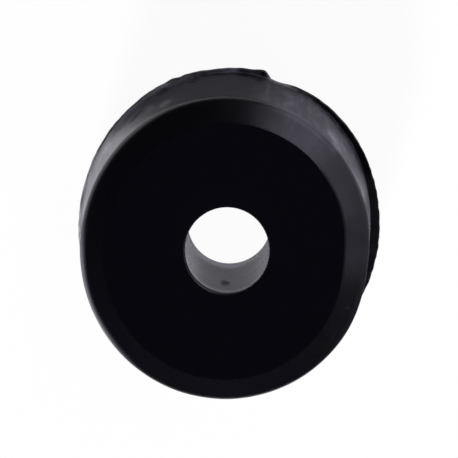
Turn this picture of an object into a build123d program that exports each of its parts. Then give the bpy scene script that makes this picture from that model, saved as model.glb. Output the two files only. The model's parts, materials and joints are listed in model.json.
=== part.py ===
from build123d import *
from math import cos, hypot, radians, sin, tan
import os

# Thick moulded rubber sealing ring, lying on its flat back face.
# Millimetres, +Z up.  The origin is the centre of the bore on the back face,
# the bevelled front face looks up, and +Y is the twelve o'clock of the ring.
# The bore is round.  The outside is a little out of round, longer along Y.

# ---------------------------------------------------------------- sizes
bore_diameter = 5.8  # a little under a 6 mm screw or spindle, so that the rubber hugs it
rim_width = 19.2  # outside of the ring along X, where the bevel meets the wall
rim_length = 20.5  # the same along Y
thickness = 8.0  # back face to front face
bevel_width = 1.65  # radial width of the sloping band round the front face
bevel_drop = 0.7  # how far that band falls towards the back
wall_draft = 1.8  # degrees that the wall leans out, so that it leaves the mould

flash_width = 0.4  # thin lip squeezed out between the mould halves
flash_thickness = 0.3

tear_start = 13.0  # degrees clockwise from +Y: the flash is broken off square
tear_end = 22.0  # it starts to come back
tear_run_out = 30.0  # it has its full width again

mouth_round = 0.2  # front edge of the bore
back_mouth_round = 0.15  # back edge of the bore
face_round = 0.25  # front face into the bevel
rim_round = 0.4  # bevel into the wall
flash_round = 0.08  # upper edge of the flash
tear_corner_round = 0.15  # corner of the flash where it is broken off square

# ---------------------------------------------------------------- worked out
rim_height = thickness - bevel_drop
draft_spread = rim_height * tan(radians(wall_draft))  # how far the wall's foot stands out
flash_spread = draft_spread + flash_width
past_flash = flash_spread + flash_width  # where the tear's outline is closed, in the open


def outline(spread, mode=Mode.ADD):
    """The ring's outside in the current sketch, spread evenly from the rim."""
    return Ellipse(rim_width / 2 + spread, rim_length / 2 + spread, mode=mode)


def clock_point(spread, clockwise):
    """Point of that outline, with its angle counted clockwise from +Y."""
    half_width, half_length = rim_width / 2 + spread, rim_length / 2 + spread
    turn = radians(clockwise)
    reach = half_width * half_length / hypot(half_length * sin(turn), half_width * cos(turn))
    return (reach * sin(turn), reach * cos(turn))


# ---------------------------------------------------------------- the ring
with BuildPart() as seal_ring:
    # The body narrows up the drafted wall to the rim, and then up the bevel to the front face.
    with BuildSketch(Plane.XY):
        outline(draft_spread)
    with BuildSketch(Plane.XY.offset(rim_height)):
        outline(0)
    loft(ruled=True)
    with BuildSketch(Plane.XY.offset(rim_height)):
        outline(0)
    with BuildSketch(Plane.XY.offset(thickness)):
        outline(-bevel_width)
    loft(ruled=True)
    fillet(seal_ring.edges().group_by(Axis.Z)[-1], face_round)
    rim_edge = seal_ring.edges().filter_by_position(Axis.Z, rim_height, rim_height)
    fillet(rim_edge, rim_round)

    # The bore goes straight through.
    with BuildSketch(Plane.XY):
        Circle(bore_diameter / 2)
    extrude(amount=thickness, mode=Mode.SUBTRACT)
    back_bore_edge, front_bore_edge = seal_ring.edges().filter_by(GeomType.CIRCLE).sort_by(Axis.Z)
    fillet(back_bore_edge, back_mouth_round)
    fillet(front_bore_edge, mouth_round)

    # The flash is a thin flat lip round the back edge, broken away over a short arc.
    with BuildSketch(Plane.XY) as flash:
        outline(flash_spread)
        outline(0, mode=Mode.SUBTRACT)
        with BuildLine():
            Polyline(
                clock_point(past_flash, tear_start),
                clock_point(0, tear_start),
                clock_point(0, tear_end),
                clock_point(draft_spread, tear_end),
                clock_point(flash_spread, tear_run_out),
                clock_point(past_flash, tear_run_out),
                close=True,
            )
        make_face(mode=Mode.SUBTRACT)
        torn_corner = flash.vertices().sort_by_distance(clock_point(flash_spread, tear_start))[0]
        fillet(torn_corner, tear_corner_round)
    extrude(amount=flash_thickness)

    flash_top = seal_ring.faces().filter_by(Axis.Z).sort_by(Axis.Z)[1]
    fillet(flash_top.edges().filter_by(GeomType.ELLIPSE), flash_round)

seal_ring.part.label = "seal_ring"

os.makedirs("parts", exist_ok=True)
export_step(seal_ring.part, "parts/seal_ring.step")
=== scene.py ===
"""Dresses the thick bevelled rubber sealing ring and shows it on a white studio floor.

Everything is in metres and in the ring's own frame. +Z runs along the bore and out of the
bevelled front face, the flat back face lies on Z = 0, and +Y is the ring's twelve o'clock.
Angles round the ring are clock angles: degrees clockwise from +Y, seen from the front.
"""

from __future__ import annotations

import json
import logging
import math
from dataclasses import dataclass
from enum import Enum
from typing import Any, Mapping, Sequence, Union

import bpy
import numpy as np
from mathutils import Matrix, Vector, noise

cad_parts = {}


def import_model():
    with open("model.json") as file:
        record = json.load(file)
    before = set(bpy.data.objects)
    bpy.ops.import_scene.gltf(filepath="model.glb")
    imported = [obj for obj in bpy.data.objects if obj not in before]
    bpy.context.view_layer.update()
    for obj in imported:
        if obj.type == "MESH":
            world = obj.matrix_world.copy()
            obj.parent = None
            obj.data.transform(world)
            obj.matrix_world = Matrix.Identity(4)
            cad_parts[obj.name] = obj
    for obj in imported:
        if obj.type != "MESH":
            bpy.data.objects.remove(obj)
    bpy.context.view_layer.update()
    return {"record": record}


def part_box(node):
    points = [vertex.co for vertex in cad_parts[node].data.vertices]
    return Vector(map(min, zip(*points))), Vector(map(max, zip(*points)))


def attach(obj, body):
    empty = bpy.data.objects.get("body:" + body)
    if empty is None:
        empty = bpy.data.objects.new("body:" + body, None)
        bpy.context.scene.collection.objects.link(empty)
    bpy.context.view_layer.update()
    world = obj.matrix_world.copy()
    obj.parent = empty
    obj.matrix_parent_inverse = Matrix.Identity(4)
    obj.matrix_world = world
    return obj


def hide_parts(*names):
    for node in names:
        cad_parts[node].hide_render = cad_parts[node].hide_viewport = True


MM = 0.001
NOISE_SEED = 7
LOG = logging.getLogger("seal_ring")

Colour = tuple[float, float, float, float]
Value = Union[float, Sequence[float], "Channel"]
Stops = tuple[tuple[float, float], ...]
Step = tuple[float, float, float, float]
WHITE: Colour = (1.0, 1.0, 1.0, 1.0)


# ---------- shader maths


class Channel:
    """One value on its way through a material's nodes, which takes part in arithmetic."""

    def __init__(self, graph: "Graph", socket: bpy.types.NodeSocket) -> None:
        """Wraps a node's output socket.

        Args:
            graph: the node graph that the socket belongs to.
            socket: the output that gives the value.
        """
        self.graph = graph
        self.socket = socket

    def _math(self, operation: str, *values: Value) -> "Channel":
        """Adds one Math node.

        Args:
            operation: the Math node's operation.
            values: the node's inputs in order.

        Returns:
            The node's result.
        """
        inputs = dict(enumerate(values))
        return self.graph.node("ShaderNodeMath", {"operation": operation}, inputs)

    def __add__(self, other: Value) -> "Channel":
        """self + other."""
        return self._math("ADD", self, other)

    def __radd__(self, other: Value) -> "Channel":
        """other + self."""
        return self._math("ADD", other, self)

    def __sub__(self, other: Value) -> "Channel":
        """self - other."""
        return self._math("SUBTRACT", self, other)

    def __rsub__(self, other: Value) -> "Channel":
        """other - self."""
        return self._math("SUBTRACT", other, self)

    def __mul__(self, other: Value) -> "Channel":
        """self * other."""
        return self._math("MULTIPLY", self, other)

    def __truediv__(self, other: Value) -> "Channel":
        """self / other."""
        return self._math("DIVIDE", self, other)

    def __pow__(self, other: Value) -> "Channel":
        """self ** other."""
        return self._math("POWER", self, other)

    def maximum(self, other: Value) -> "Channel":
        """The larger of self and other."""
        return self._math("MAXIMUM", self, other)

    def ramp(self, start: float, end: float, low: float = 0.0, high: float = 1.0) -> "Channel":
        """A smooth step from low to high as the value goes from start to end.

        Args:
            start: value at which the step begins.
            end: value at which it ends. It may be below start.
            low: result before the step.
            high: result after the step.

        Returns:
            The stepped value.
        """
        settings = {"interpolation_type": "SMOOTHSTEP", "clamp": True}
        inputs = {"Value": self, "From Min": start, "From Max": end, "To Min": low, "To Max": high}
        return self.graph.node("ShaderNodeMapRange", settings, inputs, "Result")


class Graph:
    """The nodes of one material or of the world."""

    def __init__(self, tree: bpy.types.NodeTree) -> None:
        """Starts with an empty tree.

        Args:
            tree: the node tree to fill. Its default nodes are removed.
        """
        self.tree = tree
        tree.nodes.clear()

    def node(
        self,
        kind: str,
        settings: Mapping[str, Any] | None = None,
        inputs: Mapping[int | str, Value] | None = None,
        output: int | str = 0,
    ) -> Channel:
        """Adds one node, sets it up and connects it.

        Args:
            kind: Blender's name for the node's type.
            settings: the node's own properties, set before its sockets.
            inputs: values or links, by the input's name or number.
            output: name or number of the output that is wanted.

        Returns:
            That output.
        """
        made = self.tree.nodes.new(kind)
        for name, value in (settings or {}).items():
            setattr(made, name, value)
        for name, value in (inputs or {}).items():
            socket = made.inputs[name]
            if isinstance(value, Channel):
                self.tree.links.new(value.socket, socket)
            else:
                socket.default_value = value
        if not made.outputs:
            return Channel(self, None)
        return Channel(self, made.outputs[output])

    def mix(self, amount: Value, first: Value, second: Value) -> Channel:
        """Blends two colours.

        Args:
            amount: 0 gives the first colour and 1 the second.
            first: colour at 0.
            second: colour at 1.

        Returns:
            The blended colour.
        """
        settings = {"data_type": "RGBA", "clamp_factor": True}
        inputs = {"Factor": amount, 6: first, 7: second}
        return self.node("ShaderNodeMix", settings, inputs, 2)

    def fine_noise(self, where: Value, scale: float, detail: float = 3.0, rough: float = 0.5) -> Channel:
        """Soft random variation from 0 to 1.

        Args:
            where: the position that it depends on.
            scale: number of features for each unit of position.
            detail: how many finer layers are added.
            rough: strength of the finer layers.

        Returns:
            The variation's value.
        """
        inputs = {"Vector": where, "Scale": scale, "Detail": detail, "Roughness": rough}
        return self.node("ShaderNodeTexNoise", {"noise_dimensions": "3D"}, inputs, 0)


# ---------- sizes


@dataclass(frozen=True)
class RingSizes:
    """The ring's section, in metres. Bore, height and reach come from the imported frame.

    Attributes:
        bore: radius of the bore.
        height: from the back face to the front face.
        reach: outermost radius, at the edge of the flash, as a mean round the clock.
        stretch: how much further the outside reaches at twelve o'clock than that mean.
        flash: width of the thin lip between the mould halves.
        flash_height: thickness of that lip.
        draft: how much wider the wall is at the back than at the rim.
        bevel_width: radial width of the bevel.
        bevel_drop: how far the bevel falls.
    """

    bore: float
    height: float
    reach: float
    stretch: float
    flash: float = 0.40 * MM
    flash_height: float = 0.30 * MM
    draft: float = 0.23 * MM
    bevel_width: float = 1.65 * MM
    bevel_drop: float = 0.70 * MM

    @property
    def back(self) -> float:
        """Radius of the wall at the back face."""
        return self.reach - self.flash

    @property
    def rim(self) -> float:
        """Radius where the bevel meets the wall."""
        return self.back - self.draft

    @property
    def face(self) -> float:
        """Radius where the front face meets the bevel."""
        return self.rim - self.bevel_width

    @property
    def rim_height(self) -> float:
        """Height at which the bevel meets the wall."""
        return self.height - self.bevel_drop


def ring_sizes(frame: Mapping[str, Any], node: str) -> RingSizes:
    """Reads the ring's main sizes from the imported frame.

    Args:
        node: name of the ring's node.

    Returns:
        The sizes, with the section's small measures at their own values.
    """
    low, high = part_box(node)
    mounts = {mount["name"]: mount for mount in frame["record"]["mounts"]}
    bore = mounts["bore"]["dims"]["r_mm"] * MM
    half_width, half_length = (high.x - low.x) / 2, (high.y - low.y) / 2
    return RingSizes(
        bore=bore,
        height=high.z - low.z,
        reach=(half_width + half_length) / 2,
        stretch=(half_length - half_width) / 2,
    )


# ---------- finishes


@dataclass(frozen=True)
class Spot:
    """A small place on the ring, given by its clock angle.

    Attributes:
        clock: its clock angle in degrees.
        radius: its distance from the bore's axis.
        height: its height over the back face.
        size: its half width.
        depth: how far a dent goes in, or how strong a mark is.
        rise: how many times taller than wide a mark is.
    """

    clock: float
    radius: float
    height: float
    size: float
    depth: float
    rise: float = 1.0

    @property
    def place(self) -> Vector:
        """Where the spot is, in the ring's frame."""
        turn = math.radians(self.clock)
        return Vector((self.radius * math.sin(turn), self.radius * math.cos(turn), self.height))


@dataclass(frozen=True)
class Arc:
    """A stretch round the ring of under half a turn, with soft ends.

    Attributes:
        start: clock angle where it starts, in degrees.
        end: clock angle where it ends.
        start_soft: half width in degrees of the edge at the start.
        end_soft: half width of the edge at the end.
    """

    start: float
    end: float
    start_soft: float
    end_soft: float


class Zone(Enum):
    """The parts of the ring's skin that have a finish of their own."""

    BEVEL = "bevel"
    RIM = "rim"
    WALL = "wall"
    FOOT = "foot of the wall"
    BORE = "bore"
    BORE_MOUTH = "just inside the bore's mouth"
    BORE_BACK = "back end of the bore"
    BORE_FLANKS = "flanks of the bore"
    LIP = "lip"
    LIP_EDGE = "edge of the lip"


class Grain(Enum):
    """The patterns that break up a layer of bloom or painted sheen."""

    BROAD = "broad"
    MOTTLE = "mottle"
    STREAK = "streak"
    PATCHES = "patches"


@dataclass(frozen=True)
class Layer:
    """One layer of pale colour on a zone of the ring: bloom, painted highlight or painted reflection.

    Attributes:
        zone: the zone that it lies on.
        arc: the stretch that it covers, or None for the whole turn.
        thin: its strength where the grain is low.
        more: what it gains where the grain is high.
        grain: the pattern that it follows.
        low: value of the grain at which the gain starts.
        high: value of the grain at which the gain is whole.
    """

    zone: Zone
    arc: Arc | None
    thin: float
    more: float = 0.0
    grain: Grain = Grain.MOTTLE
    low: float = 0.40
    high: float = 0.70


class RubberZones:
    """Where on the ring a point of the surface lies, as values for the shader."""

    def __init__(self, graph: Graph, sizes: RingSizes) -> None:
        """Works out the zones.

        Args:
            graph: the material's nodes.
            sizes: the ring's sizes.
        """
        self.graph = graph
        self.place = graph.node("ShaderNodeTexCoord", output="Object")
        self.across = self.part("X")
        self.along = self.part("Y")
        self.height = self.part("Z")
        self.radius = (self.across * self.across + self.along * self.along) ** 0.5
        self.side = self.radius.ramp(sizes.face - 2.0 * MM, sizes.face - 1.0 * MM)

        below_face = self.below(sizes.height, 0.03, 0.10)
        below_rim = self.below(sizes.rim_height, 0.12, 0.40)
        onto_rim = self.below(sizes.rim_height, 0.50, 0.25) * self.below(sizes.rim_height, -0.20, 0.0)
        near_bore = self.radius.ramp(sizes.bore + 0.9 * MM, sizes.bore + 0.5 * MM)
        bore = near_bore * self.below(sizes.height, 0.05, 0.35)
        past_mouth = self.below(sizes.height, 0.18, 0.30) * self.below(sizes.height, 1.2, 0.7)
        self.masks: dict[Zone, Channel] = {
            Zone.BEVEL: self.side * below_face * (1.0 - below_rim),
            Zone.RIM: self.side * onto_rim,
            Zone.WALL: self.side * below_rim,
            Zone.FOOT: self.side * self.height.ramp(1.2 * MM, 0.6 * MM),
            Zone.BORE: bore,
            Zone.BORE_MOUTH: bore * past_mouth,
            Zone.BORE_BACK: bore * self.height.ramp(1.9 * MM, 0.9 * MM),
            Zone.BORE_FLANKS: bore * self.toward(180.0).ramp(0.95, 0.45),
            Zone.LIP: self.side * self.height.ramp(0.56 * MM, 0.44 * MM),
            Zone.LIP_EDGE: self.side * self.height.ramp(0.27 * MM, 0.20 * MM),
        }
        self.grains: dict[Grain, Channel] = {
            Grain.BROAD: graph.fine_noise(self.place, 260.0, 2.0, 0.5),
            Grain.MOTTLE: graph.fine_noise(self.place, 900.0, 4.0, 0.62),
            Grain.STREAK: self.streaks(18.0, 26.0),
            Grain.PATCHES: self.streaks(25.0, 11.0),
        }

    def part(self, name: str) -> Channel:
        """One coordinate of the point, by its axis' name."""
        return self.graph.node("ShaderNodeSeparateXYZ", None, {0: self.place}, name)

    def below(self, level: float, start: float, end: float) -> Channel:
        """A soft step in height, placed by how far below a level it lies.

        Args:
            level: the height that the step is counted from.
            start: how many millimetres below the level the step is 0.
            end: how many millimetres below the level the step is 1.

        Returns:
            The step's value.
        """
        return self.height.ramp(level - start * MM, level - end * MM)

    def toward(self, clock: float) -> Channel:
        """Cosine of the angle round the ring from a clock angle to the point."""
        turn = math.radians(clock)
        return (self.across * math.sin(turn) + self.along * math.cos(turn)) / self.radius

    def arc(self, arc: Arc) -> Channel:
        """1 on an arc and 0 off it.

        Args:
            arc: the arc.

        Returns:
            The value.
        """
        first, last = math.sin(math.radians(arc.start_soft)), math.sin(math.radians(arc.end_soft))
        after_start = self.toward(arc.start + 90.0).ramp(-first, first)
        return after_start * self.toward(arc.end - 90.0).ramp(-last, last)

    def spot(self, spot: Spot) -> Channel:
        """A soft round or upright mark.

        Args:
            spot: where it is and how wide, tall and strong it is.

        Returns:
            The spot's depth at its middle, and 0 off it.
        """
        squash = Vector((1.0, 1.0, 1.0 / spot.rise))
        multiply = {"operation": "MULTIPLY"}
        here = self.graph.node("ShaderNodeVectorMath", multiply, {0: self.place, 1: squash}, "Vector")
        inputs = {0: here, 1: spot.place * squash}
        away = self.graph.node("ShaderNodeVectorMath", {"operation": "DISTANCE"}, inputs, "Value")
        return away.ramp(spot.size, spot.size * 0.3, 0.0, spot.depth)

    def streaks(self, rise: float, scale: float) -> Channel:
        """Variation that is drawn out up the wall, from 0 to 1.

        Args:
            rise: how fast it changes with height. Low values give long streaks.
            scale: how many features there are in a turn of one radian.

        Returns:
            The variation's value.
        """
        inputs = {0: self.across / self.radius, 1: self.along / self.radius, 2: self.height * rise}
        stretched = self.graph.node("ShaderNodeCombineXYZ", None, inputs)
        return self.graph.fine_noise(stretched, scale, 3.0, 0.6)

    def layer(self, layer: Layer) -> Channel:
        """How strong one layer of bloom and painted sheen is at the point.

        Args:
            layer: the layer.

        Returns:
            Its strength.
        """
        film_and_sheen = self.masks[layer.zone]
        if layer.arc:
            film_and_sheen = film_and_sheen * self.arc(layer.arc)
        if not layer.more:
            return film_and_sheen * layer.thin
        grain = self.grains[layer.grain].ramp(layer.low, layer.high)
        return film_and_sheen * (layer.thin + grain * layer.more)

    def film_and_sheen(self, layers: Sequence[Layer]) -> Channel:
        """Several layers of bloom and painted sheen together.

        Args:
            layers: the layers, at least one.

        Returns:
            The sum of their strengths.
        """
        film_and_sheen = self.layer(layers[0])
        for layer in layers[1:]:
            film_and_sheen = film_and_sheen + self.layer(layer)
        return film_and_sheen


@dataclass(frozen=True)
class BlackRubber:
    """Moulded black rubber: near black and smooth in front, with a faint grey bloom on its sides, and
    lighter grey painted highlights and painted reflections on its lit stretches, its lip and its bore.

    Attributes:
        colour: the clean rubber.
        bloom_and_sheen: the pale grey that the layers mix in: in part the film of bloom and handling, in
            part painted highlight and painted reflection.
        torn: the pale colour at the place where the lip tore off.
        face_roughness: roughness of the front face.
        bevel_roughness: roughness of the bevel.
        wall_roughness: roughness of the wall.
        bore_roughness: roughness of the bore.
        lip_roughness: roughness of the thin lip at the back.
        shoulder_roughness: roughness of the wall and rim from two to four o'clock.
        mottle_roughness: how much the mottle changes the roughness.
        bare_roughness: how much rougher the places without bloom are.
        shoulder: the stretch that has the shoulder's roughness.
        torn_arc: the stretch where the lip tore off.
        torn_heights: heights where the torn place fades out and where it is whole.
        torn_break: the step that breaks up the torn place: the mottle's value at its start and
            at its end, then the strength before and after it.
        mark_break: the like step for the marks.
        bare_break: the like step for the bare spots.
        relief: strength of the fine relief.
        relief_height: its height.
        pebble_scale: how many of its finest grains there are in a metre.
        pebble_share: height of those grains, against the mottle's.
        streak_share: height of the streaks on the wall, against the mottle's.
        body_bloom_and_sheen: bloom and painted highlights and reflections on everything but the lip.
        lip_painted_sheen: painted highlights on the lip, lighter where light falls on it, and along its
            edge.
        marks: small pale places. Those on the wall at -55.5, -31, -24 and 47 degrees are painted
            highlights mixed with bloom; the others lie at the torn lip and at the nick on the bevel.
        bore_spot: a small dull place in the bore.
        bare_spots: small dull places on the wall without bloom.
    """

    colour: Colour = (0.0009, 0.0008, 0.0017, 1.0)
    bloom_and_sheen: Colour = (0.310, 0.300, 0.340, 1.0)
    torn: Colour = (0.80, 0.79, 0.82, 1.0)
    face_roughness: float = 0.26
    bevel_roughness: float = 0.29
    wall_roughness: float = 0.30
    bore_roughness: float = 0.20
    lip_roughness: float = 0.20
    shoulder_roughness: float = 0.70
    mottle_roughness: float = 0.12
    bare_roughness: float = 0.60
    shoulder: Arc = Arc(71.0, 130.0, 4.0, 10.0)
    torn_arc: Arc = Arc(17.0, 24.5, 2.0, 3.0)
    torn_heights: tuple[float, float] = (1.0 * MM, 0.4 * MM)
    torn_break: Step = (0.36, 0.56, 0.3, 1.0)
    mark_break: Step = (0.38, 0.56, 0.2, 1.0)
    bare_break: Step = (0.44, 0.56, 0.15, 1.0)
    relief: float = 0.30
    relief_height: float = 0.02 * MM
    pebble_scale: float = 9000.0
    pebble_share: float = 0.5
    streak_share: float = 2.0
    body_bloom_and_sheen: tuple[Layer, ...] = (
        # Painted highlight on the bevel's lit stretch, from 16 to 96 degrees, with lighter streaks and a
        # lighter stretch at 50 to 68 degrees.
        Layer(Zone.BEVEL, Arc(16.0, 96.0, 8.0, 20.0), 0.02, 0.03, Grain.BROAD, 0.35, 0.65),
        Layer(Zone.BEVEL, Arc(22.0, 44.0, 8.0, 8.0), 0.0, 0.04, Grain.STREAK, 0.40, 0.65),
        Layer(Zone.BEVEL, Arc(50.0, 68.0, 7.0, 9.0), 0.025),
        # Lighter patches on the wall from -86 to -44 degrees: partly bloom, partly a painted reflection
        # of the lit floor.
        Layer(Zone.WALL, Arc(-86.0, -44.0, 26.0, 14.0), 0.12, 0.46, Grain.PATCHES, 0.36, 0.62),
        # Lighter streaks on the wall from 14 to 62 degrees: partly bloom, partly painted highlight where
        # the wall is lit.
        Layer(Zone.WALL, Arc(14.0, 62.0, 8.0, 24.0), 0.04, 0.30, Grain.STREAK, 0.36, 0.68),
        Layer(Zone.WALL, None, 0.01, 0.03),
        # Painted highlight at the foot of the wall above the lip, from -52 to -14 degrees.
        Layer(Zone.FOOT, Arc(-52.0, -14.0, 6.0, 6.0), 0.40),
        # Painted highlights along the rim, at 18 to 40 degrees and at -134 to -86 degrees.
        Layer(Zone.RIM, Arc(18.0, 40.0, 8.0, 12.0), 0.24),
        Layer(Zone.RIM, Arc(-134.0, -86.0, 14.0, 8.0), 0.20),
        Layer(Zone.BORE, None, 0.05, 0.10),
        # Painted reflections in the bore: a lighter band at its back end, lighter flanks and a lighter
        # lower edge of the mouth.
        Layer(Zone.BORE_BACK, None, 0.90),
        Layer(Zone.BORE_FLANKS, None, 0.75),
        Layer(Zone.BORE_MOUTH, Arc(125.0, 250.0, 14.0, 14.0), 0.55),
    )
    lip_painted_sheen: tuple[Layer, ...] = (
        # Painted highlights on the lip where light falls on it, and a painted highlight along its outer
        # edge.
        Layer(Zone.LIP, Arc(-110.0, -16.0, 12.0, 8.0), 0.36, 0.504, high=0.60),
        Layer(Zone.LIP, Arc(-24.0, 11.0, 8.0, 2.0), 0.15, 0.21, high=0.60),
        Layer(Zone.LIP_EDGE, Arc(-100.0, 12.0, 12.0, 1.0), 0.25, 0.35, high=0.60),
    )
    marks: tuple[Spot, ...] = (
        # Painted highlights mixed with bloom at -24, -31, 47 and -55.5 degrees; pale places at the torn
        # lip (16.5) and at the nick on the bevel (116).
        Spot(-24.0, 10.1 * MM, 5.1 * MM, 0.70 * MM, 0.32, 2.1),
        Spot(-31.0, 10.1 * MM, 4.2 * MM, 0.70 * MM, 0.3, 2.0),
        Spot(16.5, 10.5 * MM, 0.3 * MM, 0.75 * MM, 0.9),
        Spot(47.0, 9.8 * MM, 5.6 * MM, 1.60 * MM, 0.65, 1.3),
        Spot(116.0, 9.0 * MM, 7.7 * MM, 0.16 * MM, 0.4),
        Spot(-55.5, 10.1 * MM, 2.4 * MM, 1.30 * MM, 0.75, 2.2),
    )
    bore_spot: Spot = Spot(183.5, 2.88 * MM, 5.4 * MM, 0.45 * MM, 0.45, 2.4)
    bare_spots: tuple[Spot, ...] = (
        Spot(-37.5, 10.1 * MM, 2.9 * MM, 1.10 * MM, 0.9, 1.5),
        Spot(-25.5, 10.4 * MM, 1.4 * MM, 0.60 * MM, 0.8, 1.5),
        Spot(-13.2, 10.5 * MM, 1.5 * MM, 0.50 * MM, 0.8, 1.8),
    )

    def bareness(self, zones: RubberZones) -> Channel:
        """How far the bloom has been rubbed off, with broken edges on the wall.

        Args:
            zones: the zones of the ring's skin.

        Returns:
            The share that is gone.
        """
        speckle = zones.grains[Grain.MOTTLE].ramp(*self.bare_break)
        bare = zones.spot(self.bore_spot)
        for spot in self.bare_spots:
            bare = bare.maximum(zones.spot(spot) * speckle)
        return bare

    def base_colour(self, zones: RubberZones, bare: Channel) -> Channel:
        """The rubber's colour with its bloom, its painted highlights and reflections, its marks and the
        torn place.

        Args:
            zones: the zones of the ring's skin.
            bare: how far the bloom has been rubbed off.

        Returns:
            The colour.
        """
        mottle = zones.grains[Grain.MOTTLE]
        film_and_sheen = zones.film_and_sheen(self.body_bloom_and_sheen) * (1.0 - zones.masks[Zone.LIP])
        film_and_sheen = film_and_sheen + zones.film_and_sheen(self.lip_painted_sheen)
        for mark in self.marks:
            film_and_sheen = film_and_sheen + zones.spot(mark) * mottle.ramp(*self.mark_break)
        # mixes in the pale grey, which is bloom in part and painted highlight and painted reflection in
        # part
        bloom_and_sheen_mix = zones.graph.mix(film_and_sheen * (1.0 - bare), self.colour, self.bloom_and_sheen)
        torn = zones.side * zones.height.ramp(*self.torn_heights) * zones.arc(self.torn_arc)
        return zones.graph.mix(torn * mottle.ramp(*self.torn_break), bloom_and_sheen_mix, self.torn)

    def roughness(self, zones: RubberZones, bare: Channel) -> Channel:
        """The rubber's roughness, zone by zone.

        Args:
            zones: the zones of the ring's skin.
            bare: how far the bloom has been rubbed off, which leaves a dull place.

        Returns:
            The roughness.
        """
        masks = zones.masks
        rough = self.face_roughness + masks[Zone.BEVEL] * (self.bevel_roughness - self.face_roughness)
        rough = rough + masks[Zone.WALL] * (self.wall_roughness - self.face_roughness)
        rough = rough + masks[Zone.BORE] * (self.bore_roughness - self.face_roughness)
        rough = rough + masks[Zone.LIP] * (self.lip_roughness - self.wall_roughness)
        shoulder = masks[Zone.WALL].maximum(masks[Zone.RIM]) * zones.arc(self.shoulder)
        rough = rough + shoulder * (self.shoulder_roughness - self.wall_roughness)
        rough = rough + (zones.grains[Grain.MOTTLE] - 0.5) * self.mottle_roughness
        return rough + bare * self.bare_roughness

    def normal(self, zones: RubberZones) -> Channel:
        """The skin's fine relief: a pebble, a mottle and streaks up the wall.

        Args:
            zones: the zones of the ring's skin.

        Returns:
            The surface's direction with that relief.
        """
        pebble = zones.graph.fine_noise(zones.place, self.pebble_scale, 2.0) * self.pebble_share
        streak = zones.grains[Grain.STREAK] * zones.masks[Zone.WALL] * self.streak_share
        relief = pebble + zones.grains[Grain.MOTTLE] + streak + zones.grains[Grain.BROAD]
        inputs = {"Strength": self.relief, "Distance": self.relief_height, "Height": relief}
        return zones.graph.node("ShaderNodeBump", None, inputs)

    def material(self, sizes: RingSizes) -> bpy.types.Material:
        """Builds the node material.

        Args:
            sizes: the ring's sizes, which place the zones of the finish.

        Returns:
            The material.
        """
        made = bpy.data.materials.new("moulded_black_rubber")
        made.use_nodes = True
        graph = Graph(made.node_tree)
        zones = RubberZones(graph, sizes)
        bare = self.bareness(zones)
        inputs = {
            "Base Color": self.base_colour(zones, bare),
            "Roughness": self.roughness(zones, bare),
            "Normal": self.normal(zones),
            "IOR": 1.5,
        }
        shader = graph.node("ShaderNodeBsdfPrincipled", None, inputs)
        graph.node("ShaderNodeOutputMaterial", None, {"Surface": shader})
        return made


@dataclass(frozen=True)
class WhiteFloor:
    """A plain white studio floor that the eye sees as white and that keeps soft shadows.

    Attributes:
        colour: the floor's paint.
        seen_white: share of plain white that the camera sees, over the lit paint.
        mirrored_white: share of plain white that reflections see.
    """

    colour: Colour = (0.58, 0.58, 0.58, 1.0)
    seen_white: float = 0.95
    mirrored_white: float = 0.01

    def material(self) -> bpy.types.Material:
        """Builds the floor's material.

        Returns:
            The material.
        """
        made = bpy.data.materials.new("white_floor")
        made.use_nodes = True
        graph = Graph(made.node_tree)
        camera = graph.node("ShaderNodeLightPath", output="Is Camera Ray")
        glossy = graph.node("ShaderNodeLightPath", output="Is Glossy Ray")
        through = graph.node("ShaderNodeLightPath", output="Is Transmission Ray")
        white = camera.maximum(through) * self.seen_white + glossy * self.mirrored_white
        paint = graph.node("ShaderNodeBsdfDiffuse", None, {"Color": self.colour})
        glow = graph.node("ShaderNodeEmission", None, {"Color": WHITE, "Strength": 1.0})
        shader = graph.node("ShaderNodeMixShader", None, {0: white, 1: paint, 2: glow})
        graph.node("ShaderNodeOutputMaterial", None, {"Surface": shader})
        return made


# ---------- the ring


def by_clock(clock: np.ndarray, stops: Stops) -> np.ndarray:
    """Values that run straight from stop to stop round the clock.

    Args:
        clock: clock angles in degrees.
        stops: pairs of a clock angle and the value there.

    Returns:
        The value at each angle.
    """
    angles, values = zip(*stops)
    return np.interp(clock, angles, values)


def wander(clock: np.ndarray, pace: float, row: tuple[float, float]) -> np.ndarray:
    """Smooth random variation round the clock, between -1 and 1.

    Args:
        clock: clock angles in degrees.
        pace: how far it moves on with each degree.
        row: picks one of many such variations.

    Returns:
        The variation at each angle.
    """
    return np.array([noise.noise(Vector((angle * pace, *row))) for angle in clock])


@dataclass(frozen=True)
class Swell:
    """A broad, slight bulge of the ring's outside.

    Attributes:
        clock: clock angle of its middle, in degrees.
        spread: how far it reaches on each side, in degrees.
        amount: how far the outside stands out at its middle.
    """

    clock: float
    spread: float
    amount: float

    def at(self, clock: np.ndarray) -> np.ndarray:
        """How far the outside stands out at each clock angle.

        Args:
            clock: clock angles in degrees.

        Returns:
            The distances, in metres.
        """
        off = (clock - self.clock + 180.0) % 360.0 - 180.0
        return self.amount * np.exp(-((off / self.spread) ** 2))


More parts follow.
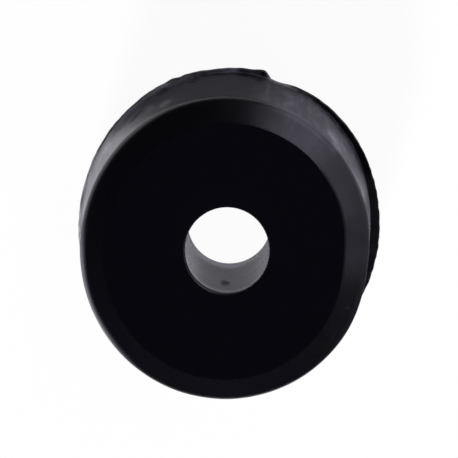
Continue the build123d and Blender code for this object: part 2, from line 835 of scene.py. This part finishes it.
@dataclass
class SealRing:
    """The moulded ring: one lathed skin whose section changes a little round the clock.

    Attributes:
        sizes: the section's sizes.
        bore_inset: how far the soft bore closes in.
        bore_taper: how much further it closes in at the back.
        mouth_stretch: how much further the bore's mouth reaches at twelve o'clock than its mean.
        swells: broad bulges and flats of the outside.
        dents: small dents.
        lip_width: the lip's width round the clock, as a share of the flash. It tore off before
            one o'clock, just after a ragged stub.
        lip_wear: how ragged the lip's edge is round the clock, as a share of its width.
        lip_least: the width that the lip keeps where it tore off, as a share of the flash.
        lip_curl: share by which the lip's thickness changes.
        foot_spread: how far the foot of the wall spreads where its share is 1.
        foot_shares: that share round the clock. It is below 0 where the foot draws in.
        foot_fade: how many times the foot's spread would fit up the wall.
        wall_margin: how far inside the rim's radius the section still counts as wall.
        rim_rounds: rounding of the rim in millimetres: soft at the left, crisp at three o'clock.
        mouth_round: rounding of the bore's front edge.
        back_mouth_round: rounding of the bore's back edge.
        face_round: rounding between the front face and the bevel.
        flash_round: rounding of the lip's upper edge.
        flash_foot_round: rounding of the lip's lower edge.
        root_round: rounding between lip and wall.
        wave: height of the skin's slight waves.
        wave_scale: how many waves there are in a metre.
        wave_start: height at which the waves have their full size, over a flat back.
        steps: number of sections round the clock.
        fine_steps: start and end of the stretch with closer sections, and their pace, in degrees.
    """

    sizes: RingSizes
    bore_inset: float = 0.05 * MM
    bore_taper: float = 0.03 * MM
    mouth_stretch: float = 0.07 * MM
    swells: tuple[Swell, ...] = (
        Swell(-148.0, 60.0, 0.24 * MM),
        Swell(-106.0, 34.0, 0.10 * MM),
        Swell(100.0, 36.0, -0.12 * MM),
        Swell(95.0, 17.0, -0.13 * MM),
    )
    dents: tuple[Spot, ...] = (
        Spot(116.0, 9.0 * MM, 7.68 * MM, 0.11 * MM, 0.03 * MM),
        Spot(183.5, 2.9 * MM, 5.4 * MM, 0.22 * MM, 0.05 * MM),
        Spot(18.2, 10.5 * MM, 0.0 * MM, 0.75 * MM, 0.13 * MM),
    )
    lip_width: Stops = (
        (-180.0, 0.80), (-100.0, 0.35), (-75.0, 0.22), (-50.0, 0.20), (-32.0, 0.18), (-15.0, 0.48),
        (0.0, 0.62), (9.0, 0.74), (12.5, 1.05), (13.4, 0.95), (15.8, 0.10), (21.0, 0.08),
        (26.0, 0.30), (33.0, 0.60), (42.0, 0.90), (60.0, 1.18), (72.0, 1.36), (80.0, 1.60),
        (90.0, 1.90), (100.0, 2.00), (110.0, 1.75), (125.0, 1.30), (145.0, 0.85), (180.0, 0.80),
    )
    lip_wear: Stops = (
        (-180.0, 0.10), (-60.0, 0.30), (-45.0, 0.80), (-20.0, 0.50), (-5.0, 0.15), (40.0, 0.06),
        (180.0, 0.10),
    )
    lip_least: float = 0.06
    lip_curl: float = 0.35
    foot_spread: float = 0.13 * MM
    foot_shares: Stops = (
        (-180.0, 0.3), (-110.0, 1.0), (-60.0, 1.0), (-28.0, 1.1), (-8.0, 0.0), (30.0, 0.0),
        (45.0, -0.3), (60.0, -0.3), (72.0, -0.7), (86.0, -1.1), (112.0, -1.1), (150.0, 0.0),
        (180.0, 0.3),
    )
    foot_fade: float = 3.2
    wall_margin: float = 0.3 * MM
    rim_rounds: Stops = (
        (-180.0, 0.42), (-140.0, 0.45), (-100.0, 0.70), (-35.0, 0.70), (0.0, 0.42), (70.0, 0.42),
        (88.0, 0.16), (125.0, 0.16), (160.0, 0.42), (180.0, 0.42),
    )
    mouth_round: float = 0.18 * MM
    back_mouth_round: float = 0.15 * MM
    face_round: float = 0.25 * MM
    flash_round: float = 0.08 * MM
    flash_foot_round: float = 0.03 * MM
    root_round: float = 0.05 * MM
    wave: float = 0.020 * MM
    wave_scale: float = 420.0
    wave_start: float = 0.8 * MM
    steps: int = 600
    fine_steps: tuple[float, float, float] = (10.0, 26.0, 0.3)

    def clocks(self) -> np.ndarray:
        """Clock angles of the lathe's steps, closer together at the torn lip.

        Returns:
            The angles in degrees.
        """
        even = np.linspace(-180.0, 180.0, self.steps, endpoint=False)
        start, end, pace = self.fine_steps
        fine = np.arange(start, end, pace)
        outside = even[(even < start) | (even >= end)]
        return np.sort(np.concatenate([outside, fine]))

    def flash_width(self, clock: np.ndarray) -> np.ndarray:
        """Width of the lip round the ring.

        Args:
            clock: clock angles in degrees.

        Returns:
            The width at each angle, in metres.
        """
        ragged = 1.0 + by_clock(clock, self.lip_wear) * wander(clock, 0.35, (3.1, 7.7))
        return self.sizes.flash * np.maximum(by_clock(clock, self.lip_width) * ragged, self.lip_least)

    def flare(self, clock: np.ndarray) -> np.ndarray:
        """How far the foot of the wall spreads before the lip, in metres, at each clock angle."""
        return self.foot_spread * by_clock(clock, self.foot_shares)

    @staticmethod
    def line(start: np.ndarray, end: np.ndarray, count: int) -> np.ndarray:
        """Points of a straight stretch of the section, without its ends.

        Args:
            start: its first point at each clock angle.
            end: its last point at each clock angle.
            count: number of points between them.

        Returns:
            An array of angles by points by (radius, height).
        """
        share = (np.arange(count) + 1.0)[None, :, None] / (count + 1.0)
        return start[:, None, :] * (1.0 - share) + end[:, None, :] * share

    @staticmethod
    def bend(
        before: np.ndarray,
        corner: np.ndarray,
        after: np.ndarray,
        radius: float | np.ndarray,
        count: int,
    ) -> np.ndarray:
        """Points of a rounded corner of the section.

        Args:
            before: the corner before it, at each clock angle.
            corner: the corner itself.
            after: the corner after it.
            radius: radius of the rounding, also as a column of one for each angle. It is made
                smaller where the sides are short.
            count: number of points, ends included.

        Returns:
            An array of angles by points by (radius, height).
        """
        back, ahead = before - corner, after - corner
        back_length = np.linalg.norm(back, axis=1, keepdims=True)
        ahead_length = np.linalg.norm(ahead, axis=1, keepdims=True)
        back, ahead = back / back_length, ahead / ahead_length
        half = np.arccos(np.clip((back * ahead).sum(1, keepdims=True), -1.0, 1.0)) / 2
        room = 0.45 * np.minimum(back_length, ahead_length)  # leaves a straight stretch between
        tangent = np.minimum(radius / np.tan(half), room)
        fitted = tangent * np.tan(half)
        middle = back + ahead
        middle = middle / np.linalg.norm(middle, axis=1, keepdims=True)
        centre = corner + middle * fitted / np.sin(half)
        first = corner + back * tangent - centre
        last = corner + ahead * tangent - centre
        turn = (math.pi - 2 * half)[:, None, :]
        share = np.linspace(0.0, 1.0, count)[None, :, None]
        from_first = first[:, None, :] * np.sin((1 - share) * turn)
        from_last = last[:, None, :] * np.sin(share * turn)
        return centre[:, None, :] + (from_first + from_last) / np.sin(turn)

    def section(self, clock: np.ndarray) -> np.ndarray:
        """The closed section at each clock angle, from the bore's back edge and round.

        Args:
            clock: clock angles in degrees.

        Returns:
            An array of angles by points by (radius, height).
        """
        sizes = self.sizes
        flare, flash = self.flare(clock), self.flash_width(clock)
        thick = sizes.flash_height * (1.0 + self.lip_curl * wander(clock, 0.22, (9.4, 1.3)))

        def corner(radius: Any, height: Any) -> np.ndarray:
            """A corner of the section at every clock angle."""
            shape = np.zeros_like(clock)
            return np.stack([radius + shape, height + shape], axis=1)

        bore_back = corner(sizes.bore, 0.0)
        lip_foot = corner(sizes.back + flare + flash, 0.0)
        lip_top = corner(sizes.back + flare + flash, thick)
        root = corner(sizes.back + flare, thick)
        rim = corner(sizes.rim, sizes.rim_height)
        face = corner(sizes.face, sizes.height)
        mouth = corner(sizes.bore, sizes.height)

        ring = [bore_back, lip_foot, lip_top, root, rim, face, mouth]
        rim_round = by_clock(clock, self.rim_rounds)[:, None] * MM
        rounds = [self.back_mouth_round, self.flash_foot_round, self.flash_round, self.root_round]
        rounds += [rim_round, self.face_round, self.mouth_round]
        bend_points = [5, 3, 5, 4, 10, 6, 8]
        line_points = [8, 1, 3, 22, 14, 20, 28]
        bends = []
        for index, here in enumerate(ring):
            before, after = ring[index - 1], ring[(index + 1) % len(ring)]
            bends.append(self.bend(before, here, after, rounds[index], bend_points[index]))
        parts = []
        for index, bend in enumerate(bends):
            following = bends[(index + 1) % len(bends)]
            parts += [bend, self.line(bend[:, -1], following[:, 0], line_points[index])]
        points = np.concatenate(parts, axis=1)

        height = points[:, :, 1]
        wall = (points[:, :, 0] > sizes.rim - self.wall_margin) & (height > thick[:, None])
        share = np.clip((height - thick[:, None]) / (sizes.rim_height - thick[:, None]), 0.0, 1.0)
        spread = np.clip(1.0 - share * self.foot_fade, 0.0, 1.0) ** 2
        hollow = flare[:, None] * ((1.0 - share) - spread)
        points[:, :, 0] -= np.where(wall, hollow, 0.0)
        return points

    def turned(self, clock: np.ndarray) -> np.ndarray:
        """Turns the section round the clock, with the ring's swells and its soft bore.

        Args:
            clock: clock angles in degrees.

        Returns:
            An array of angles by points by (x, y, z).
        """
        sizes = self.sizes
        section = self.section(clock)
        turn = np.radians(clock)[:, None]
        radius, height = section[:, :, 0], section[:, :, 1]
        outward = np.clip((radius - sizes.bore) / (sizes.face - sizes.bore), 0.0, 1.0)
        mouth_stretch = self.mouth_stretch * height / sizes.height
        stretch = mouth_stretch + (sizes.stretch - mouth_stretch) * outward
        inset = self.bore_inset + self.bore_taper * (1.0 - height / sizes.height)
        radius = radius + stretch * np.cos(2 * turn) - inset * (1.0 - outward) ** 2
        for swell in self.swells:
            radius = radius + swell.at(clock)[:, None] * outward**2
        return np.stack([radius * np.sin(turn), radius * np.cos(turn), height + 0 * turn], axis=2)

    def worn(self, points: np.ndarray) -> np.ndarray:
        """Adds the skin's slight waves and its dents.

        Args:
            points: rows of x, y and z.

        Returns:
            The moved points.
        """
        lifted = np.clip(points[:, 2] / self.wave_start, 0.0, 1.0)
        push = np.array([noise.noise_vector(Vector(point) * self.wave_scale) for point in points])
        points = points + push * (self.wave * lifted)[:, None]
        for dent in self.dents:
            offset = points - np.array(dent.place)
            near = np.exp(-(offset**2).sum(1) / dent.size**2)
            points = points + near[:, None] * self.into_rubber(dent) * dent.depth
        return points

    def into_rubber(self, dent: Spot) -> np.ndarray:
        """The way into the rubber at a dent on the wall, on the front or in the bore.

        Args:
            dent: the dent.

        Returns:
            A direction of length 1.
        """
        turn = math.radians(dent.clock)
        outward = np.array([math.sin(turn), math.cos(turn), 0.0])
        if dent.radius > self.sizes.rim:
            return -outward
        if dent.radius > self.sizes.bore:
            return np.array([0.0, 0.0, -1.0])
        return outward

    def mesh(self) -> bpy.types.Mesh:
        """Closes the turned section into one skin of four-sided faces.

        Returns:
            The mesh.
        """
        skin = self.turned(self.clocks())
        around, along = skin.shape[:2]
        points = self.worn(skin.reshape(-1, 3))
        rows = np.arange(around)[:, None]
        columns = np.arange(along)[None, :]
        next_row, next_column = (rows + 1) % around, (columns + 1) % along
        corners = [
            rows * along + columns,
            next_row * along + columns,
            next_row * along + next_column,
            rows * along + next_column,
        ]
        faces = np.stack(corners, axis=2).reshape(-1, 4)
        made = bpy.data.meshes.new("seal_ring_skin")
        made.from_pydata(points.tolist(), [], faces.tolist())
        made.validate()
        made.shade_smooth()
        return made

    def build(self, finish: BlackRubber) -> bpy.types.Object:
        """Makes the ring's object, dresses it and puts it in the scene.

        Args:
            finish: the rubber's finish.

        Returns:
            The object.
        """
        piece = bpy.data.objects.new("moulded_ring", self.mesh())
        bpy.context.scene.collection.objects.link(piece)
        piece.data.materials.append(finish.material(self.sizes))
        return piece


# ---------- the studio


def toward_sky(clock: float, lean: float) -> Vector:
    """A direction away from the ring.

    Args:
        clock: its clock angle in degrees.
        lean: its angle from the zenith in degrees.

    Returns:
        The direction, of length 1.
    """
    turn, tilt = math.radians(clock), math.radians(lean)
    across = math.sin(tilt)
    return Vector((across * math.sin(turn), across * math.cos(turn), math.cos(tilt)))


class LampKind(Enum):
    """The sorts of lamp in the studio."""

    PANEL = "AREA"
    SUN = "SUN"
    SPOT = "SPOT"


@dataclass(frozen=True)
class Lamp:
    """One lamp, placed by the direction that it shines from.

    Attributes:
        name: the lamp's name.
        kind: a flat panel, a far sun or a narrow spot.
        clock: clock angle that it shines from, in degrees.
        lean: angle between the zenith and the lamp, in degrees.
        strength: a panel's radiance, or how strongly a sun or spot lights what it falls on.
        width: a panel's width in metres, or the angle of a sun or spot in degrees.
        length: a panel's length in metres.
        distance: distance from the ring in metres.
        shine: whether glossy surfaces mirror the lamp.
        blue: how many times more blue it gives than the studio's tint.
        bulb: radius in metres of the bulb of a spot.
        soft_rim: share of a spot's cone over which its light fades.
    """

    name: str
    kind: LampKind
    clock: float
    lean: float
    strength: float
    width: float
    length: float = 0.0
    distance: float = 0.5
    shine: bool = True
    blue: float = 1.0
    bulb: float = 1.0 * MM
    soft_rim: float = 0.3

    def build(self, target: Vector, tint: Colour) -> bpy.types.Object:
        """Makes the lamp and aims it.

        Args:
            target: the point that it shines at.
            tint: the studio's tint.

        Returns:
            The lamp's object.
        """
        light = bpy.data.lights.new(self.name, self.kind.value)
        light.color = (tint[0], tint[1], tint[2] * self.blue)
        if self.kind is LampKind.PANEL:
            light.shape = "RECTANGLE"
            light.size, light.size_y = self.width, self.length
            light.energy = self.strength * math.pi * self.width * self.length
        elif self.kind is LampKind.SUN:
            light.angle = math.radians(self.width)
            light.energy = self.strength
        else:
            light.spot_size = math.radians(self.width)
            light.spot_blend = self.soft_rim
            light.shadow_soft_size = self.bulb
            light.energy = self.strength * 4 * math.pi**2 * self.distance**2
        lamp = bpy.data.objects.new(self.name, light)
        bpy.context.scene.collection.objects.link(lamp)
        away = toward_sky(self.clock, self.lean)
        lamp.location = target + away * self.distance
        lamp.rotation_euler = away.to_track_quat("Z", "Y").to_euler()
        lamp.visible_camera = False
        lamp.visible_glossy = self.shine
        return lamp


@dataclass(frozen=True)
class Studio:
    """Floor, surroundings and lamps.

    Attributes:
        floor_radius: radius of the floor.
        floor_sides: number of sides of its edge.
        horizon: brightness of the pale surroundings at the horizon, on the window's side.
        zenith: brightness overhead, where the room is dark.
        pale_up_to: sine of the height up to which the surroundings are pale.
        dark_from: sine of the height from which they are dark.
        window: clock angle of the window, in degrees.
        window_reach: cosine of the angle from the window up to which its side is at its brightest.
        far_side: share of the horizon's brightness on the side away from the window.
        tint: colour of the light that falls on the ring.
        lamps: the lamps.
    """

    floor_radius: float = 1.2
    floor_sides: int = 96
    horizon: float = 0.7
    zenith: float = 0.02
    pale_up_to: float = 0.30
    dark_from: float = 0.66
    window: float = 65.0
    window_reach: float = 0.8
    far_side: float = 0.13
    tint: Colour = (0.95, 0.93, 1.0, 1.0)
    lamps: tuple[Lamp, ...] = (
        Lamp("upper_right_panel", LampKind.PANEL, 48.0, 44.0, 1.75, 0.23, 0.28, blue=1.15),
        Lamp("right_panel", LampKind.PANEL, 90.0, 50.0, 0.22, 0.36, 0.28, blue=1.15),
        Lamp("low_left_fill", LampKind.SUN, -164.0, 60.0, 8.2, 10.0, shine=False),
        Lamp("low_right_fill", LampKind.SUN, 142.0, 60.0, 1.4, 10.0, shine=False, blue=1.15),
        Lamp("bore_spot", LampKind.SPOT, 4.4, 13.7, 0.55, 1.0, distance=0.37, shine=False),
    )

    def surround(self) -> None:
        """Sets the world: white to the eye, pale low down and dark overhead for the object."""
        world = bpy.data.worlds.new("studio")
        bpy.context.scene.world = world
        world.use_nodes = True
        graph = Graph(world.node_tree)
        direction = graph.node("ShaderNodeTexCoord", output="Generated")
        up = graph.node("ShaderNodeSeparateXYZ", inputs={0: direction}, output="Z")
        camera = graph.node("ShaderNodeLightPath", output="Is Camera Ray")
        to_window = toward_sky(self.window, 90.0)
        dot = {"operation": "DOT_PRODUCT"}
        right = graph.node("ShaderNodeVectorMath", dot, {0: direction, 1: to_window}, "Value")
        side = right.ramp(0.0, self.window_reach, self.far_side, 1.0)
        glow = up.ramp(self.dark_from, self.pale_up_to, self.zenith, self.horizon) * side
        strength = camera + (1.0 - camera) * glow.maximum(self.zenith)
        colour = graph.mix(camera, self.tint, WHITE)
        sky = graph.node("ShaderNodeBackground", None, {"Color": colour, "Strength": strength})
        graph.node("ShaderNodeOutputWorld", None, {"Surface": sky})

    def floor(self) -> bpy.types.Object:
        """Lays the floor under the ring.

        Returns:
            The floor's object.
        """
        turns = [2 * math.pi * index / self.floor_sides for index in range(self.floor_sides)]
        rim = [(self.floor_radius * math.cos(t), self.floor_radius * math.sin(t), 0.0) for t in turns]
        mesh = bpy.data.meshes.new("floor")
        mesh.from_pydata(rim, [], [tuple(range(self.floor_sides))])
        made = bpy.data.objects.new("floor", mesh)
        bpy.context.scene.collection.objects.link(made)
        made.data.materials.append(WhiteFloor().material())
        return made

    def build(self, target: Vector) -> None:
        """Makes floor, world and lamps.

        Args:
            target: the point that the lamps shine at.
        """
        self.surround()
        self.floor()
        for lamp in self.lamps:
            lamp.build(target, self.tint)
            LOG.info("lamp %s", lamp.name)


@dataclass(frozen=True)
class Viewpoint:
    """The camera, which looks down on the front face from a little above its centre.

    Attributes:
        lens: focal length in millimetres, on a 36 mm sensor.
        distance: from the middle of the front face.
        lean: angle between the bore's axis and the line of sight, in degrees.
        clock: clock angle that the camera leans towards.
        aim_up: how far above the bore the camera aims, in the picture.
        aim_right: how far to the right of the bore it aims.
    """

    lens: float = 305.0
    distance: float = 0.256
    lean: float = 13.7
    clock: float = 4.4
    aim_up: float = 1.45 * MM
    aim_right: float = 0.13 * MM

    def build(self, sizes: RingSizes) -> bpy.types.Object:
        """Makes the camera and aims it at the ring.

        Args:
            sizes: the ring's sizes.

        Returns:
            The camera's object.
        """
        away = toward_sky(self.clock, self.lean)
        up = Vector((0.0, 1.0, 0.0))
        up = (up - up.dot(away) * away).normalized()
        right = up.cross(away)
        aim = Vector((0.0, 0.0, sizes.height)) + up * self.aim_up + right * self.aim_right
        data = bpy.data.cameras.new("camera")
        data.lens = self.lens
        data.sensor_width = 36.0
        data.clip_start, data.clip_end = 0.01, 20.0
        camera = bpy.data.objects.new("camera", data)
        bpy.context.scene.collection.objects.link(camera)
        place = Matrix((right, up, away)).transposed().to_4x4()
        place.translation = aim + away * self.distance
        camera.matrix_world = place
        bpy.context.scene.camera = camera
        return camera


def main() -> None:
    """Builds the ring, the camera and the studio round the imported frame."""
    logging.basicConfig(level=logging.INFO, format="%(message)s")
    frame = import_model()
    noise.seed_set(NOISE_SEED)
    sizes = ring_sizes(frame, "seal_ring")
    bpy.context.scene.view_settings.view_transform = "Standard"

    Viewpoint().build(sizes)

    piece = SealRing(sizes).build(BlackRubber())
    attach(piece, "root")
    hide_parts("seal_ring")
    LOG.info("%s: %d faces", piece.name, len(piece.data.polygons))

    Studio().build(Vector((0.0, 0.0, sizes.height / 2)))


if __name__ == "__main__":
    main()
